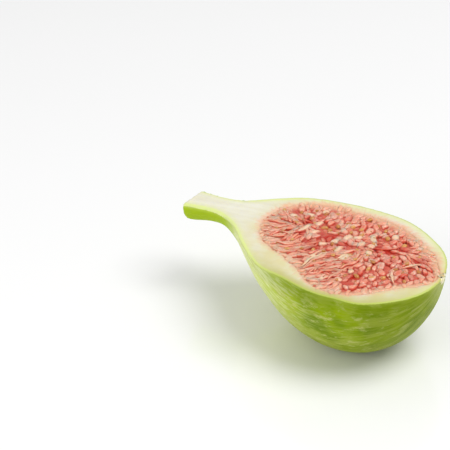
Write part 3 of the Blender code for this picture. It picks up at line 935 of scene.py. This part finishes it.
# The seeds: small hard golden pips, one in a pod, bared here and there by the knife. They
# lie half sunk in the pulp and turn a little this way and that.
SEED_PLACES = (
    (-44.1, 10.9), (-37.6, 9.1), (-27.8, 11.5), (-19.4, 9.5), (-14.2, 7.4), (-14.9, 0.6), (-25.5, 1.0),
    (-26.9, -4.4), (-36.8, 16.5), (-43.2, 0.0), (-39.1, -3.7), (-36.6, -2.7), (-23.8, -12.1),
    (-33.3, -2.8), (-19.7, -3.4), (-14.5, -9.9), (-10.3, -6.3), (-17.1, -11.4), (-27.4, 17.7),
    (-8.7, 3.0), (-51.0, 13.9), (-12.4, -4.9),
)
LOOSE_SEEDS = 46
LOOSE_SEED_LENGTH, LOOSE_SEED_WIDTH = (-52.0, -4.0), (-20.0, 20.0)
SEED_SPACING = 2.2 * MM
SEED_MARGIN = 2.5 * MM
SEED_HALF_LENGTH = (0.65 * MM, 0.9 * MM)
SEED_ASPECT = 0.72
SEED_TURN, SEED_TILT = 0.9, 0.3
SEED_TOPS = (0.15 * MM, 0.4 * MM)
SEED_DENT = 0.03
SEED_DRAW = 31


def seed_rows(rng):
    places = [Vector(place) * MM for place in SEED_PLACES]
    while len(places) < len(SEED_PLACES) + LOOSE_SEEDS:
        point = Vector((rng.uniform(*LOOSE_SEED_LENGTH), rng.uniform(*LOOSE_SEED_WIDTH))) * MM
        clear = all((point - other).length > SEED_SPACING for other in places)
        if edge_room(point) > SEED_MARGIN and clear:
            places.append(point)
    rows = []
    for point in places:
        half_along = rng.uniform(*SEED_HALF_LENGTH)
        heading = turned(flow_heading(point), rng.uniform(-SEED_TURN, SEED_TURN))
        top = rng.uniform(*SEED_TOPS)
        place = Vector((point.x, point.y, top - 0.7 * half_along)) + FIG_PLACE
        heading = Vector((heading.x, heading.y, rng.uniform(-SEED_TILT, SEED_TILT)))
        rows.append((place, heading, half_along, SEED_ASPECT * half_along, rng.random(), edge_room(point)))
    return rows


def seed_finish():
    finish = Finish("pulp_seed_gold")
    tint = finish.number("tint")
    speck = finish.noise(finish.place(), 1600.0, 2.0, 0.5)
    gold = finish.mix(tint, colour(190, 116, 40), colour(224, 164, 84))
    finish.set(Base_Color=finish.mix(speck.step(0.45, 0.8) * 0.6, gold, colour(168, 84, 34)))
    finish.set(Roughness=0.32, Coat_Weight=0.7, Coat_Roughness=0.08)
    finish.set(Subsurface_Weight=0.15, Subsurface_Radius=(1.0, 0.6, 0.3), Subsurface_Scale=0.0005)
    return finish.material


seed_rng = random.Random(SEED_DRAW)
rows = seed_rows(seed_rng)
pulp_seeds = copies_as_one("pulp_seeds", unit_ball(10, 8, 0.12), rows, 0.0, SEED_DENT, seed_rng)
pulp_seeds.data.materials.append(seed_finish())
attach(pulp_seeds, "root")

# The floor is a plain white board with a slight gloss. The light is one wide softbox above
# it and a small one in front, in an even white room.
FLOOR_SIZE = 6.0
SOFTBOXES = (
    ("softbox_above", (0.7, 0.1, 1.35), 1.1, 14.5),
    ("softbox_front", (-0.35, -0.7, 0.4), 0.6, 1.8),
)
LIGHT_TARGET = Vector((0.0, 0.0, 0.02))
ROOM_LIGHT = 0.52

bpy.ops.mesh.primitive_plane_add(size=FLOOR_SIZE, location=(0.0, 0.0, 0.0))
floor = bpy.context.object
floor.name = floor.data.name = "floor"
floor_finish = Finish("floor_white")
floor_finish.set(Base_Color=(0.98, 0.98, 0.98, 1.0), Roughness=0.2, Coat_Weight=0.4,
                 Coat_Roughness=0.12, Coat_IOR=1.7)
floor.data.materials.append(floor_finish.material)
for name, place, size, power in SOFTBOXES:
    data = bpy.data.lights.new(name, "AREA")
    data.shape = "DISK"
    data.size, data.energy = size, power
    light = bpy.data.objects.new(name, data)
    bpy.context.scene.collection.objects.link(light)
    light.location = place
    light.rotation_euler = (LIGHT_TARGET - Vector(place)).to_track_quat("-Z", "Y").to_euler()
world = bpy.data.worlds.new("studio")
bpy.context.scene.world = world
world.use_nodes = True
sky = world.node_tree.nodes["Background"].inputs
sky["Color"].default_value = (1.0, 1.0, 1.0, 1.0)
sky["Strength"].default_value = ROOM_LIGHT
bpy.context.scene.view_settings.view_transform = "Standard"

# The camera looks down on the cut face from about 30 degrees, with a long lens.
CAMERA_TARGET = Vector((-24.0, 1.04, 25.3)) * MM
CAMERA_DISTANCE = 466.0 * MM
CAMERA_AZIMUTH = math.radians(23.86)
CAMERA_ELEVATION = math.radians(29.83)
CAMERA_ROLL = math.radians(-1.40)
CAMERA_FIELD = math.radians(15.0)

back = Vector((math.sin(CAMERA_AZIMUTH) * math.cos(CAMERA_ELEVATION),
               -math.cos(CAMERA_AZIMUTH) * math.cos(CAMERA_ELEVATION), math.sin(CAMERA_ELEVATION)))
camera_data = bpy.data.cameras.new("camera")
camera_data.angle = CAMERA_FIELD
camera_data.clip_start = 0.01
camera = bpy.data.objects.new("camera", camera_data)
bpy.context.scene.collection.objects.link(camera)
camera.rotation_mode = "QUATERNION"
camera.location = CAMERA_TARGET + back * CAMERA_DISTANCE
camera.rotation_quaternion = (back.to_track_quat("Z", "Y")
                              @ Matrix.Rotation(CAMERA_ROLL, 3, "Z").to_quaternion())
bpy.context.scene.camera = camera
